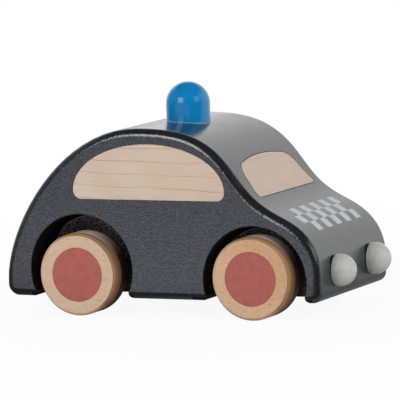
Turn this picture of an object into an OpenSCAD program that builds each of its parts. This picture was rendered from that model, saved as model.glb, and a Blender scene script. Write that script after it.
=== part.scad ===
// Wooden toy police car: a painted body of three boards glued side by side, bare wooden window
// inlays, a turned roof lamp, two turned headlights and two wheelsets that roll in the body.
// Millimetres. +X points to the nose, +Y to the car's left, +Z up, and the ground is at zero.

/* [Body] */
// Distance between the two axles
wheelbase = 93.5; // [75:0.5:120]
// Wood left between the rear wheel arch and the tail
tail_land = 14.2; // [10:0.1:25]
// Wood left between the front wheel arch and the nose
nose_land = 7; // [5:0.1:15]
// Height of the body from its underside to the roof
body_h = 84.9; // [72:0.1:105]
// Width of the body across its side boards
body_w = 92; // [80:1:115]
// Height of the underside above the ground
ground_gap = 8.4; // [5:0.1:10]
// Rounding of the outer edges of the side boards
edge_r = 4; // [2:0.5:5]
// Radius of the lower corner at the tail
tail_corner_r = 6; // [4:0.5:8]
// Radius of the lower corner at the nose
nose_corner_r = 5; // [4:0.5:7]

/* [Side profile] */
// Height at which the tail stands furthest back, as a share of the body's height
tail_z_share = 0.099; // [0.08:0.001:0.2]
// Place of the roof's highest point, as a share of the body's length
roof_x_share = 0.43; // [0.38:0.01:0.48]
// Place of the windscreen's middle along the body, as a share of its length
screen_x_share = 0.73; // [0.7:0.001:0.76]
// Height of the windscreen's middle, as a share of the body's height
screen_z_share = 0.757; // [0.72:0.001:0.79]
// Slope of the windscreen's middle, in degrees
screen_fall = 52.5; // [46:0.5:58]
// Place of the bonnet's middle along the body, as a share of its length
bonnet_x_share = 0.881; // [0.86:0.001:0.9]
// Height of the bonnet's middle, as a share of the body's height
bonnet_z_share = 0.494; // [0.46:0.001:0.53]
// Slope of the bonnet's middle, in degrees
bonnet_fall = 25.5; // [20:0.5:32]

/* [Windows] */
// Thickness of the window inlays
inlay_t = 1.2; // [0.8:0.1:2]
// Gap between an inlay and its recess
inlay_fit = 0.1; // [0.05:0.05:0.2]
// Wood between the rear wheel arch and the sill of the side window
side_sill_gap = 7.7; // [4:0.1:10]
// Wood between the top of the side window and the roof
side_top_gap = 7.6; // [6:0.1:12]
// Wood between the side window and the tail, at the window's widest height
side_tail_gap = 20.2; // [14:0.1:28]
// Wood between the side window and the windscreen, at the window's widest height
side_screen_gap = 11.7; // [9:0.1:20]
// Radius of the side window's lower corners
side_corner_r = 4.3; // [2:0.1:6]
// Length of the windscreen down its slope
screen_l = 25; // [18:0.5:28]
// Part of the windscreen that lies above the middle of the slope
screen_above = 7.1; // [5:0.1:10]
// Wood on each side of the windscreen's lower edge
screen_side_gap = 9.8; // [7:0.1:16]
// How far each side of the windscreen leans in towards the roof
screen_lean = 5; // [0:0.5:9]
// Rise of the windscreen's bowed upper edge
screen_bow = 4.4; // [2:0.1:6]
// Radius of the windscreen's lower corners
screen_lower_r = 2.5; // [1:0.5:5]
// Radius of the windscreen's upper corners
screen_upper_r = 9; // [5:0.5:11]
// Length of the rear window down its slope
rear_window_l = 20; // [14:0.5:26]
// Wood on each side of the rear window's lower edge
rear_side_gap = 16; // [10:0.5:22]

/* [Wheels] */
// Diameter of the wheels
wheel_d = 41.2; // [34:0.2:46]
// Thickness of the wheels
wheel_t = 16; // [12:0.5:20]
// How far the wheels stand out from the body's sides
wheel_out = 5; // [3:0.5:8]
// Gap between a wheel's inner face and the floor of its pocket
wheel_side_gap = 14; // [2:0.5:18]
// Chamfer on the wheels' edges
wheel_chamfer = 1.2; // [0.6:0.1:2]
// Diameter of the red hub discs
hub_disc_d = 27; // [20:0.5:30]
// Thickness of the hub discs
hub_disc_t = 2; // [1.2:0.1:3]
// Gap between a hub disc and its recess
hub_disc_fit = 0.05; // [0.05:0.05:0.15]
// Diameter of the axles
axle_d = 6; // [4:0.5:8]
// Gap on the radius between an axle and the body's bore
axle_fit = 0.1; // [0.05:0.01:0.1]
// Gap on the radius between an axle and a wheel's bore, which is glued
wheel_bore_fit = 0.02; // [0.01:0.01:0.05]

/* [Wheel arches] */
// Gap between the rear wheels and their arches
rear_arch_gap = 7.1; // [5:0.1:10]
// Gap between the front wheels and their arches
front_arch_gap = 6.8; // [5:0.1:10]
// Height of the rear arches' centre above the rear axle
rear_arch_lift = 2; // [0:0.5:3]
// Depth of the front arches' centre below the front axle
front_arch_drop = 2; // [0:0.5:3]
// Radius of the lower corners of the arches
arch_corner_r = 2.5; // [1:0.5:4]

/* [Roof lamp] */
// Diameter of the roof lamp
lamp_d = 22.1; // [18:0.1:26]
// Height of the roof lamp above its seat
lamp_h = 21.2; // [18:0.1:28]
// Distance of the lamp ahead of the roof's highest point
lamp_ahead = 9.3; // [0:0.1:14]
// Depth of the lamp's seat below the lowest edge of the roof around it
lamp_sink = 0.3; // [0.2:0.1:1]
// Gap on the radius between the lamp and its seat
lamp_fit = 0.1; // [0.05:0.05:0.2]
// Diameter of the dowel that holds the lamp
lamp_dowel_d = 8; // [5:0.5:10]
// Depth of that dowel in the lamp
lamp_dowel_up = 12; // [8:0.5:14]
// Depth of that dowel in the body
lamp_dowel_down = 18; // [10:0.5:25]

/* [Headlights] */
// Diameter of the headlights
headlight_d = 16; // [13:0.2:19]
// Straight rim of a headlight, behind its dome
headlight_rim = 2.2; // [0.5:0.1:4]
// Height of the headlights above the underside
headlight_z = 14.2; // [12:0.1:18]
// Distance of the headlights' centres from the body's sides
headlight_side_gap = 22.8; // [18:0.1:30]
// Diameter of the dowels that hold the headlights
headlight_dowel_d = 6; // [4:0.5:8]
// Depth of such a dowel in its headlight
headlight_dowel_out = 5; // [3:0.5:6]
// Depth of such a dowel in the body
headlight_dowel_in = 13; // [8:0.5:18]
// Gap on the radius between a dowel and its holes
dowel_fit = 0.05; // [0.03:0.01:0.1]
// Room at each end of a dowel
dowel_end_gap = 0.3; // [0.2:0.1:1]

/* [Hidden] */

$fn = 72;
// How far every cut runs past the face that it opens
overrun = 1;
// Steps along each stretch of the profile, round a corner and round an edge
stretch_steps = [22, 20, 10, 14];
corner_steps = 6;
edge_steps = 5;
window_steps = 40;
// Handle lengths at the start and end of each profile stretch, as shares of its chord
handle_shares = [[0.25, 0.4], [0.4, 0.42], [0.43, 0.45], [0.19, 0.52]];
// Middle of the rear window along the stretch from tail to roof
rear_window_share = 0.5;
// Part of the rear window above its middle, and its lean, bow and corners as the windscreen has them
rear_above_share = 0.5;

charcoal = [0.2, 0.21, 0.24];
bare_wood = [0.84, 0.74, 0.62];
beech = [0.82, 0.66, 0.5];
red_paint = [0.67, 0.33, 0.3];
blue_paint = [0.06, 0.4, 0.68];
grey_paint = [0.68, 0.68, 0.67];
steel = [0.7, 0.71, 0.73];
right = -1;
left = 1;

// Wheels and arches
wheel_r = wheel_d / 2;
rear_arch_r = wheel_r + rear_arch_gap;
front_arch_r = wheel_r + front_arch_gap;
hub_face_y = body_w / 2 + wheel_out;
side_t = wheel_t - wheel_out + wheel_side_gap;
core_w = body_w - 2 * side_t;
axle_l = 2 * (hub_face_y - hub_disc_t - dowel_end_gap);

// Lengths along the body, from its tail, and heights from its underside
rear_axle_x = tail_land + rear_arch_r;
front_axle_x = rear_axle_x + wheelbase;
body_l = front_axle_x + front_arch_r + nose_land;
axle_z = wheel_r - ground_gap;
rear_arch_z = axle_z + rear_arch_lift;
front_arch_z = axle_z - front_arch_drop;

// Place of the tail when the whole car, headlights included, is centred on the origin
headlight_l = headlight_rim + headlight_d / 2;
tail_x = -(body_l + headlight_l) / 2;

// Side profile: smooth stretches from tail to roof, windscreen, bonnet and nose.
// Each place holds its distance from the tail, its height and the direction of the outline there.
profile_places = [
    [0, tail_z_share * body_h, 90],
    [roof_x_share * body_l, body_h, 0],
    [screen_x_share * body_l, screen_z_share * body_h, -screen_fall],
    [bonnet_x_share * body_l, bonnet_z_share * body_h, -bonnet_fall],
    [body_l, headlight_z, -90]
];

function heading(a) = [cos(a), sin(a)];
function flat(p) = [p[0], p[1]];
function stretch(i) =
    let (a = profile_places[i], b = profile_places[i + 1])
    let (chord = norm(flat(b) - flat(a)))
    [
        flat(a),
        flat(a) + heading(a[2]) * chord * handle_shares[i][0],
        flat(b) - heading(b[2]) * chord * handle_shares[i][1],
        flat(b)
    ];
function curve_at(c, t) =
    pow(1 - t, 3) * c[0] + 3 * pow(1 - t, 2) * t * c[1] + 3 * (1 - t) * t * t * c[2] + pow(t, 3) * c[3];
function curve_way(c, t) =
    let (d = pow(1 - t, 2) * (c[1] - c[0]) + 2 * (1 - t) * t * (c[2] - c[1]) + t * t * (c[3] - c[2]))
    d / norm(d);
// Points of the outline, each with its outward direction
function outline_point(p, way) = [p[0], p[1], -way[1], way[0]];
function stretch_points(i) =
    let (c = stretch(i), n = stretch_steps[i])
    [for (k = [0 : n - 1]) outline_point(curve_at(c, k / n), curve_way(c, k / n))];
function corner_points(x, r, from) =
    [for (k = [0 : corner_steps])
        let (out = heading(from - 90 * k / corner_steps))
        [x + r * out[0], r + r * out[1], out[0], out[1]]];

last_place = profile_places[len(profile_places) - 1];
upper_outline = concat(
    [for (i = [0 : len(stretch_steps) - 1]) each stretch_points(i)],
    [outline_point(flat(last_place), heading(last_place[2]))]
);
outline = concat(
    upper_outline,
    corner_points(body_l - nose_corner_r, nose_corner_r, 0),
    corner_points(tail_corner_r, tail_corner_r, -90)
);
function inset(points, by) = [for (q = points) [q[0] - by * q[2], q[1] - by * q[3]]];
function backwards(list) = [for (i = [len(list) - 1 : -1 : 0]) list[i]];
function tail_at(z) = lookup(z, [for (q = stretch_points(0)) [q[1], q[0]]]);
function screen_at(z) = lookup(z, [for (i = [1, 2]) each [for (q = stretch_points(i)) [q[1], q[0]]]]);
function roof_at(x) = lookup(x, [for (q = stretch_points(1)) [q[0], q[1]]]);

// Side windows
sill_z = rear_arch_z + rear_arch_r + side_sill_gap;
side_base_z = sill_z + side_corner_r;
side_top_z = body_h - side_top_gap;
side_start = tail_at(side_base_z) + side_tail_gap;
side_end = screen_at(side_base_z) - side_screen_gap;

// Roof lamp
lamp_x = roof_x_share * body_l + lamp_ahead;
lamp_seat_z = roof_at(lamp_x + lamp_d / 2) - lamp_sink;

// Headlights
headlight_y = body_w / 2 - headlight_side_gap;

// Rounded outline through corners that each have their own radius
function fillet(before, at, after, r) =
    let (a = (before - at) / norm(before - at), b = (after - at) / norm(after - at))
    let (half = acos(a * b) / 2, centre = at + (a + b) / norm(a + b) * r / sin(half))
    let (from = at + a * r / tan(half) - centre, to = at + b * r / tan(half) - centre)
    let (start = atan2(from[1], from[0]), turn = atan2(to[1], to[0]) - start)
    let (sweep = turn > 180 ? turn - 360 : turn < -180 ? turn + 360 : turn)
    [for (k = [0 : corner_steps]) centre + r * heading(start + sweep * k / corner_steps)];
function rounded(points, radii) =
    let (n = len(points))
    [for (i = [0 : n - 1]) each fillet(points[(i + n - 1) % n], points[i], points[(i + 1) % n], radii[i])];

// Stands a flat drawing of the car's side upright, spread evenly about the middle plane
module across(w) {
    translate([tail_x, 0, ground_gap])
        rotate([90, 0, 0])
            linear_extrude(w, center = true)
                children();
}

// Puts a piece that points along +Z on the car's right or left side, pointing outwards
module on_side(side, x, y, z) {
    translate([tail_x + x, side * y, ground_gap + z])
        rotate([-side * 90, 0, 0])
            children();
}

// Puts a piece that points along +Z on the nose, pointing forwards
module on_nose(side) {
    translate([tail_x + body_l, side * headlight_y, ground_gap + headlight_z])
        rotate([0, 90, 0])
            children();
}

module on_roof() {
    translate([tail_x + lamp_x, 0, ground_gap + lamp_seat_z])
        children();
}

// Half-moon outline of a side window
module side_window_shape(grow) {
    middle = (side_start + side_end) / 2;
    reach = (side_end - side_start) / 2 + grow;
    rise = side_top_z - side_base_z + grow;
    r = side_corner_r + grow;
    crown = [for (k = [0 : window_steps])
        let (out = heading(180 * k / window_steps))
        [middle + reach * out[0], side_base_z + rise * out[1]]];
    lower_left = [for (k = [1 : corner_steps])
        [middle - reach + r, side_base_z] + r * heading(180 + 90 * k / corner_steps)];
    lower_right = [for (k = [0 : corner_steps - 1])
        [middle + reach - r, side_base_z] + r * heading(270 + 90 * k / corner_steps)];
    polygon(concat(crown, lower_left, lower_right));
}

// Outline of a window that follows the body's curve, drawn across the car and up the slope
module slope_window_shape(half_w, l, above, grow) {
    low = above - l - grow;
    high = above - screen_bow + grow;
    wide = half_w + grow;
    narrow = half_w - screen_lean + grow;
    corners = [[-wide, low], [wide, low], [narrow, high], [0, above + grow], [-narrow, high]];
    bow_r = narrow * narrow / (2 * screen_bow);
    polygon(rounded(corners, [screen_lower_r, screen_lower_r, screen_upper_r, bow_r, screen_upper_r]));
}

// Thin layer along the body's curved surface, from a depth under it to a height over it
module skin(under, over) {
    across(body_w)
        polygon(concat(inset(upper_outline, -over), backwards(inset(upper_outline, under))));
}

// Block that cuts a window out of that layer: placed on the curve, square to it
module slope_window_block(p, way, half_w, l, above, grow) {
    slope = atan2(way[1], way[0]);
    translate([tail_x + p[0], 0, ground_gap + p[1]])
        rotate([0, -slope, 0])
            rotate([0, 0, 90])
                linear_extrude(l, center = true)
                    slope_window_shape(half_w, l, above, grow);
}

module body_bores() {
    for (x = [rear_axle_x, front_axle_x])
        on_side(left, x, 0, axle_z)
            cylinder(r = axle_d / 2 + axle_fit, h = body_w, center = true);
    on_roof() {
        cylinder(r = lamp_d / 2 + lamp_fit, h = lamp_h);
        translate([0, 0, -lamp_dowel_down - dowel_end_gap])
            cylinder(r = lamp_dowel_d / 2 + dowel_fit, h = lamp_dowel_down + dowel_end_gap + overrun);
    }
    for (side = [right, left])
        on_nose(side)
            translate([0, 0, -headlight_dowel_in - dowel_end_gap])
                cylinder(r = headlight_dowel_d / 2 + dowel_fit,
                    h = headlight_dowel_in + dowel_end_gap + overrun);
}

// Recesses of the windscreen and the rear window, and the same shapes as pieces
module windscreen_block(grow) {
    slope_window_block(flat(profile_places[2]), heading(-screen_fall),
        body_w / 2 - screen_side_gap, screen_l, screen_above, grow);
}

module rear_window_block(grow) {
    c = stretch(0);
    slope_window_block(curve_at(c, rear_window_share), -curve_way(c, rear_window_share),
        body_w / 2 - rear_side_gap, rear_window_l, rear_above_share * rear_window_l, grow);
}

module slope_recesses() {
    intersection() {
        skin(inlay_t + inlay_fit, overrun);
        union() {
            windscreen_block(inlay_fit);
            rear_window_block(inlay_fit);
        }
    }
}

// Opening of one wheel arch: a round with rounded lower corners
module arch_shape(x, z, r) {
    dx = sqrt(pow(r + arch_corner_r, 2) - pow(z - arch_corner_r, 2));
    translate([x, z])
        circle(r);
    difference() {
        polygon([
            [x, z],
            [x - dx, arch_corner_r],
            [x - dx, -overrun],
            [x + dx, -overrun],
            [x + dx, arch_corner_r]
        ]);
        for (side = [-1, 1])
            translate([x + side * dx, arch_corner_r])
                circle(arch_corner_r);
    }
}

// Side board: the profile, drawn in at its outer edge along a quarter round
module side_board_blank(side) {
    r = min(edge_r, tail_corner_r, nose_corner_r);
    rings = concat(
        [[0, core_w / 2]],
        [for (k = [0 : edge_steps])
            let (a = 90 * k / edge_steps)
            [r * (1 - cos(a)), body_w / 2 - r + r * sin(a)]]
    );
    n = len(outline);
    points = [for (g = rings)
        each [for (p = inset(outline, g[0])) [tail_x + p[0], -g[1], ground_gap + p[1]]]];
    walls = [for (j = [0 : len(rings) - 2], i = [0 : n - 1])
        let (a = j * n + i, b = j * n + (i + 1) % n)
        each [[a, b + n, a + n], [a, b, b + n]]];
    inner = [for (i = [n - 1 : -1 : 0]) i];
    outer = [for (i = [0 : n - 1]) (len(rings) - 1) * n + i];
    mirror([0, side == left ? 1 : 0, 0])
        polyhedron(points, concat([inner, outer], walls));
}

module side_board(side) {
    color(charcoal)
        difference() {
            side_board_blank(side);
            across(body_w + 2 * overrun) {
                arch_shape(rear_axle_x, rear_arch_z, rear_arch_r);
                arch_shape(front_axle_x, front_arch_z, front_arch_r);
            }
            on_side(side, 0, body_w / 2 - inlay_t - inlay_fit, 0)
                window_side_turn(side)
                    linear_extrude(inlay_t + inlay_fit + overrun)
                        side_window_shape(inlay_fit);
            slope_recesses();
            body_bores();
        }
}

// Turns a drawing of the car's side so that its nose points forwards on either side
module window_side_turn(side) {
    mirror([0, side == left ? 1 : 0, 0])
        children();
}

module body_core() {
    color(charcoal)
        difference() {
            across(core_w)
                polygon(inset(outline, 0));
            slope_recesses();
            body_bores();
        }
}

module side_window(side) {
    color(bare_wood)
        on_side(side, 0, body_w / 2 - inlay_t, 0)
            window_side_turn(side)
                linear_extrude(inlay_t)
                    side_window_shape(0);
}

module windscreen() {
    color(bare_wood)
        intersection() {
            skin(inlay_t, 0);
            windscreen_block(0);
        }
}

module rear_window() {
    color(bare_wood)
        intersection() {
            skin(inlay_t, 0);
            rear_window_block(0);
        }
}

// Turned knob with a straight rim, a domed end and a blind hole for its dowel
module domed_knob(d, rim, dowel_d, dowel_depth) {
    difference() {
        union() {
            cylinder(d = d, h = rim);
            translate([0, 0, rim])
                intersection() {
                    sphere(d = d);
                    cylinder(d = d + overrun, h = d);
                }
        }
        translate([0, 0, -overrun])
            cylinder(r = dowel_d / 2 + dowel_fit, h = dowel_depth + dowel_end_gap + overrun);
    }
}

module roof_lamp() {
    color(blue_paint)
        on_roof()
            domed_knob(lamp_d, lamp_h - lamp_d / 2, lamp_dowel_d, lamp_dowel_up);
}

module roof_lamp_dowel() {
    color(beech)
        on_roof()
            translate([0, 0, -lamp_dowel_down])
                cylinder(d = lamp_dowel_d, h = lamp_dowel_down + lamp_dowel_up);
}

module headlight(side) {
    color(grey_paint)
        on_nose(side)
            domed_knob(headlight_d, headlight_rim, headlight_dowel_d, headlight_dowel_out);
}

module headlight_dowel(side) {
    color(beech)
        on_nose(side)
            translate([0, 0, -headlight_dowel_in])
                cylinder(d = headlight_dowel_d, h = headlight_dowel_in + headlight_dowel_out);
}

module axle(x) {
    color(steel)
        on_side(left, x, 0, axle_z)
            cylinder(d = axle_d, h = axle_l, center = true);
}

// Wheel with its outer face towards the side that it stands on
module wheel(side, x) {
    edge = [
        [0, -wheel_t],
        [wheel_r - wheel_chamfer, -wheel_t],
        [wheel_r, wheel_chamfer - wheel_t],
        [wheel_r, -wheel_chamfer],
        [wheel_r - wheel_chamfer, 0],
        [0, 0]
    ];
    color(beech)
        on_side(side, x, hub_face_y, axle_z)
            difference() {
                rotate_extrude()
                    polygon(edge);
                translate([0, 0, -hub_disc_t - hub_disc_fit])
                    cylinder(r = hub_disc_d / 2 + hub_disc_fit, h = hub_disc_t + hub_disc_fit + overrun);
                translate([0, 0, -wheel_t - overrun])
                    cylinder(r = axle_d / 2 + wheel_bore_fit, h = wheel_t + overrun);
            }
}

module hub_disc(side, x) {
    color(red_paint)
        on_side(side, x, hub_face_y - hub_disc_t, axle_z)
            cylinder(d = hub_disc_d, h = hub_disc_t);
}

body_core();
side_board(right);  // right_side_board
side_board(left);  // left_side_board
windscreen();
rear_window();
side_window(right);  // right_side_window
side_window(left);  // left_side_window
roof_lamp();
roof_lamp_dowel();
headlight(right);  // right_headlight
headlight(left);  // left_headlight
headlight_dowel(right);  // right_headlight_dowel
headlight_dowel(left);  // left_headlight_dowel
axle(front_axle_x);  // front_axle
axle(rear_axle_x);  // rear_axle
wheel(right, front_axle_x);  // front_right_wheel
wheel(left, front_axle_x);  // front_left_wheel
wheel(right, rear_axle_x);  // rear_right_wheel
wheel(left, rear_axle_x);  // rear_left_wheel
hub_disc(right, front_axle_x);  // front_right_hub_disc
hub_disc(left, front_axle_x);  // front_left_hub_disc
hub_disc(right, rear_axle_x);  // rear_right_hub_disc
hub_disc(left, rear_axle_x);  // rear_left_hub_disc
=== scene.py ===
# %% [markdown]
# # A wooden toy police car
#
# This lesson dresses a small wooden push car: a charcoal lacquered body with bare wooden windows,
# a blue lamp on the roof, two grey half-ball headlights and four beech wheels with red middles.
# The construction is loaded as a fixed frame, and each visible piece is modelled again with soft
# edges and a finish. Everything is in metres. +X points to the nose, +Y to the car's left, +Z up.

# %% Load the construction
import math
from functools import partial

import bmesh
import bpy
from mathutils import Matrix, Vector


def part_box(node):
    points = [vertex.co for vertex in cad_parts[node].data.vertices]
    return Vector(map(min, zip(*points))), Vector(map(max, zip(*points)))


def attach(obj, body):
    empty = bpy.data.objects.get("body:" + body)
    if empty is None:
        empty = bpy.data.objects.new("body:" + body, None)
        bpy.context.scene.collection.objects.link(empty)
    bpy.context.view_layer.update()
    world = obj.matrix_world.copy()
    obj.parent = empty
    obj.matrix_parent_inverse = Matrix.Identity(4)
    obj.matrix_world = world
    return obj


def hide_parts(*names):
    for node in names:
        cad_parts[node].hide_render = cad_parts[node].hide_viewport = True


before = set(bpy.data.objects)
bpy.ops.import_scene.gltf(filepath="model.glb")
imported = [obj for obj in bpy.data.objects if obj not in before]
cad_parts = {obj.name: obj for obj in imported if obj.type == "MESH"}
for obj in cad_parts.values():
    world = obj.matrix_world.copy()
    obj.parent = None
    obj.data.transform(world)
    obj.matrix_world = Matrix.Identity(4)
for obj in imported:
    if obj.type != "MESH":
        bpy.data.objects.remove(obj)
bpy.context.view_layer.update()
MM = 0.001

# %% [markdown]
# ## Hand tools
#
# Modelling by script is modelling by hand with the clicks written down. Operators act on whatever is
# selected, so each piece starts from an empty selection, and edges or faces are then chosen by a rule
# about their place. These few helpers do the clicks that come back again and again.

# %% Selecting and choosing
HAIR = 0.01 * MM  # places closer together than this count as the same


def clear_selection():
    bpy.ops.object.select_all(action="DESELECT")


def take(piece):
    clear_selection()
    piece.select_set(True)
    bpy.context.view_layer.objects.active = piece


def edit(piece):
    take(piece)
    bpy.ops.object.mode_set(mode="EDIT")


def leave_edit():
    bpy.ops.object.mode_set(mode="OBJECT")


def choose(kind, rule):
    """In edit mode, select the VERT, EDGE or FACE items that the rule accepts."""
    bpy.ops.mesh.select_mode(type=kind)
    bpy.ops.mesh.select_all(action="DESELECT")
    mesh = bpy.context.object.data
    shape = bmesh.from_edit_mesh(mesh)
    items = {"VERT": shape.verts, "EDGE": shape.edges, "FACE": shape.faces}[kind]
    for item in items:
        if rule(item):
            item.select_set(True)
    shape.select_flush_mode()
    bmesh.update_edit_mesh(mesh)


def choose_all():
    bpy.ops.mesh.select_all(action="SELECT")


def runs_lengthwise(edge):
    """True for an edge whose two ends are equally far across the car."""
    return abs(edge.verts[0].co.y - edge.verts[1].co.y) < HAIR


print("choosing tools ready")

# %% Shaping what is chosen, in edit mode


def bevel(offset, segments, affect="EDGES"):
    """Break the chosen edges or corners by an offset in millimetres."""
    bpy.ops.mesh.bevel(offset=offset * MM, segments=segments, affect=affect, clamp_overlap=False)


def pull_out(way):
    """Extrude what is chosen by a vector in metres."""
    bpy.ops.mesh.extrude_region_move(TRANSFORM_OT_translate={"value": way})


def face_outwards():
    choose_all()
    bpy.ops.mesh.normals_make_consistent(inside=False)


def swell(piece, amount):
    """Move a piece's surface outwards by some millimetres, or inwards by a negative amount."""
    edit(piece)
    choose_all()
    bpy.ops.transform.shrink_fatten(value=amount * MM, use_even_offset=True)
    leave_edit()


print("shaping tools ready")

# %% Working on whole pieces


def fix_place():
    """Put the place of the active piece into its mesh."""
    bpy.ops.object.transform_apply(location=True, rotation=True, scale=True)


def copy_of(piece, name):
    take(piece)
    bpy.ops.object.duplicate()
    twin = bpy.context.object
    twin.name = name
    return twin


def discard(*pieces):
    for piece in pieces:
        bpy.data.objects.remove(piece)


def apply_modifier(piece, kind, **settings):
    take(piece)
    modifier = piece.modifiers.new(kind.lower(), kind)
    for key, value in settings.items():
        setattr(modifier, key, value)
    bpy.ops.object.modifier_apply(modifier=modifier.name)


def carve(piece, cutter, operation="DIFFERENCE"):
    apply_modifier(piece, "BOOLEAN", object=cutter, operation=operation, solver="EXACT")


def smooth(piece, degrees=30):
    """Smooth shading that lets the big flat faces decide, so that flats stay flat up to their edge."""
    take(piece)
    bpy.ops.object.shade_smooth_by_angle(angle=math.radians(degrees))
    apply_modifier(piece, "WEIGHTED_NORMAL", keep_sharp=True, weight=50)


def report(piece):
    size = [round(side / MM, 1) for side in piece.dimensions]
    print(piece.name, "size in mm:", size, "faces:", len(piece.data.polygons))


print("piece tools ready")

# %% [markdown]
# ## The side outline
#
# The body is sawn to one outline and looks the same from both sides. An outline can be pushed together
# from straight edges, but a Bezier curve gives a fair line with few points: tail, roof, windscreen,
# bonnet and nose, each with the direction in which the line passes through it. The lower corners are
# quarter rounds and the underside is straight.

# %% Draw outlines as closed curves
ROUND = 0.5523  # handle length of a quarter round, as a share of its radius


def draw_outline(name, anchors):
    """Closed outline on the car's middle plane. An anchor is a spot with the handle before and after
    it, in millimetres along X and Z. Where a handle is left out, the line there is straight."""
    spots = [Vector(anchor[0]) for anchor in anchors]
    clear_selection()
    bpy.ops.curve.primitive_bezier_curve_add(rotation=(math.pi / 2, 0, 0))
    outline = bpy.context.object
    outline.name = name
    spline = outline.data.splines[0]
    spline.bezier_points.add(len(anchors) - 2)
    for i, (_, before, after) in enumerate(anchors):
        towards_last = spots[i].lerp(spots[i - 1], 1 / 3)
        towards_next = spots[i].lerp(spots[(i + 1) % len(spots)], 1 / 3)
        point = spline.bezier_points[i]
        point.handle_left_type = point.handle_right_type = "FREE"
        point.co = (*(spots[i] * MM), 0)
        point.handle_left = (*((Vector(before) if before else towards_last) * MM), 0)
        point.handle_right = (*((Vector(after) if after else towards_next) * MM), 0)
    spline.use_cyclic_u = True
    outline.data.resolution_u = 20
    bpy.ops.object.convert(target="MESH")
    fix_place()
    return outline


def thicken(outline, low_y, high_y):
    """Fill an outline and pull it out across the car, between two places in millimetres."""
    edit(outline)
    choose_all()
    bpy.ops.mesh.remove_doubles(threshold=0.001 * MM)
    bpy.ops.mesh.edge_face_add()
    bpy.ops.transform.translate(value=(0, low_y * MM, 0))
    pull_out((0, (high_y - low_y) * MM, 0))
    face_outwards()
    leave_edit()


print("outline tools ready")

# %% The body's outline, point by point
core_low, core_high = (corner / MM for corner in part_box("body_core"))
TAIL, UNDER = core_low.x, core_low.z
LONG, TALL = core_high.x - core_low.x, core_high.z - core_low.z
HALF_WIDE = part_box("left_side_board")[1].y / MM
NOSE_R, TAIL_R, EDGE_R = 5, 6, 4


def heading(degrees):
    return Vector((math.cos(math.radians(degrees)), math.sin(math.radians(degrees))))


# Spot from the tail and the underside, direction there, and handle shares before and after it
PASSES = [
    (Vector((0, 0.099 * TALL)), 90, None, 0.25),
    (Vector((0.43 * LONG, TALL)), 0, 0.4, 0.4),
    (Vector((0.73 * LONG, 0.757 * TALL)), -52.5, 0.42, 0.43),
    (Vector((0.881 * LONG, 0.494 * TALL)), -25.5, 0.45, 0.19),
    (Vector((LONG, 14.2)), -90, 0.52, None),
]
START = Vector((TAIL, UNDER))


def body_anchors():
    anchors = []
    for i, (spot, direction, share_in, share_out) in enumerate(PASSES):
        before = after = None
        if share_in:
            before = spot - heading(direction) * share_in * (spot - PASSES[i - 1][0]).length
        if share_out:
            after = spot + heading(direction) * share_out * (PASSES[i + 1][0] - spot).length
        anchors.append((spot, before, after))
    anchors += [
        (Vector((LONG, NOSE_R)), None, Vector((LONG, NOSE_R * (1 - ROUND)))),
        (Vector((LONG - NOSE_R, 0)), Vector((LONG - NOSE_R * (1 - ROUND), 0)), None),
        (Vector((TAIL_R, 0)), None, Vector((TAIL_R * (1 - ROUND), 0))),
        (Vector((0, TAIL_R)), Vector((0, TAIL_R * (1 - ROUND))), None),
    ]
    return [tuple(START + part if part else None for part in anchor) for anchor in anchors]


painted_body = draw_outline("painted_body", body_anchors())
print("outline points:", len(painted_body.data.vertices))

# %% [markdown]
# ## The body block
#
# The outline is filled and pulled out to the body's full width, and both side edges are rounded over
# with a router's quarter round of four millimetres. A Bevel modifier would do this too; the bevel
# operator is used because only the two rims are wanted, and they are easy to choose by their place.

# %% Thicken the outline and round its rims
thicken(painted_body, -HALF_WIDE, HALF_WIDE)
edit(painted_body)
choose("EDGE", runs_lengthwise)
bevel(EDGE_R, 10)
leave_edit()
report(painted_body)

# %% [markdown]
# ## Windows
#
# The windows are thin inlays of bare wood, flush with the lacquer. The side windows are half moons in
# the flat sides. The windscreen and the rear window follow the curved body, so each is cut out of the
# body's own skin: a block of the window's shape, kept where it meets the body, minus a slightly
# shrunken body. The shrunken body also stops the recess at the right depth.

# %% A half-moon block for each side window
HALF_MOON_R = 4.3


def half_moon_anchors(low, high, corner_r):
    middle, reach = (low.x + high.x) / 2, (high.x - low.x) / 2
    base = low.z + corner_r
    rise = high.z - base
    left_x, right_x = middle - reach, middle + reach
    lean, lift, hook = ROUND * reach, ROUND * rise, (1 - ROUND) * corner_r
    return [
        ((left_x, base), (left_x, base - ROUND * corner_r), (left_x, base + lift)),
        ((middle, high.z), (middle - lean, high.z), (middle + lean, high.z)),
        ((right_x, base), (right_x, base + lift), (right_x, base - ROUND * corner_r)),
        ((right_x - corner_r, low.z), (right_x - hook, low.z), None),
        ((left_x + corner_r, low.z), None, (left_x + hook, low.z)),
    ]


side_windows = {}
for side in ("right", "left"):
    low, high = (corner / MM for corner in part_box(side + "_side_window"))
    inlay = draw_outline(side + "_window_inlay", half_moon_anchors(low, high, HALF_MOON_R))
    thicken(inlay, low.y, high.y)
    side_windows[side] = inlay
    report(inlay)

# %% A shaped block across the car, for a window on a slope
SLOPE_LEAN, SLOPE_BOW = 5, 4.4  # how far a window narrows to its top, and how far its top bows up
SLOPE_LOW_R, SLOPE_HIGH_R = 2.5, 9
SLOPE_REACH = 10  # how far the block reaches in and out of the body
NEAR_CORNER = 0.5


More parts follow.
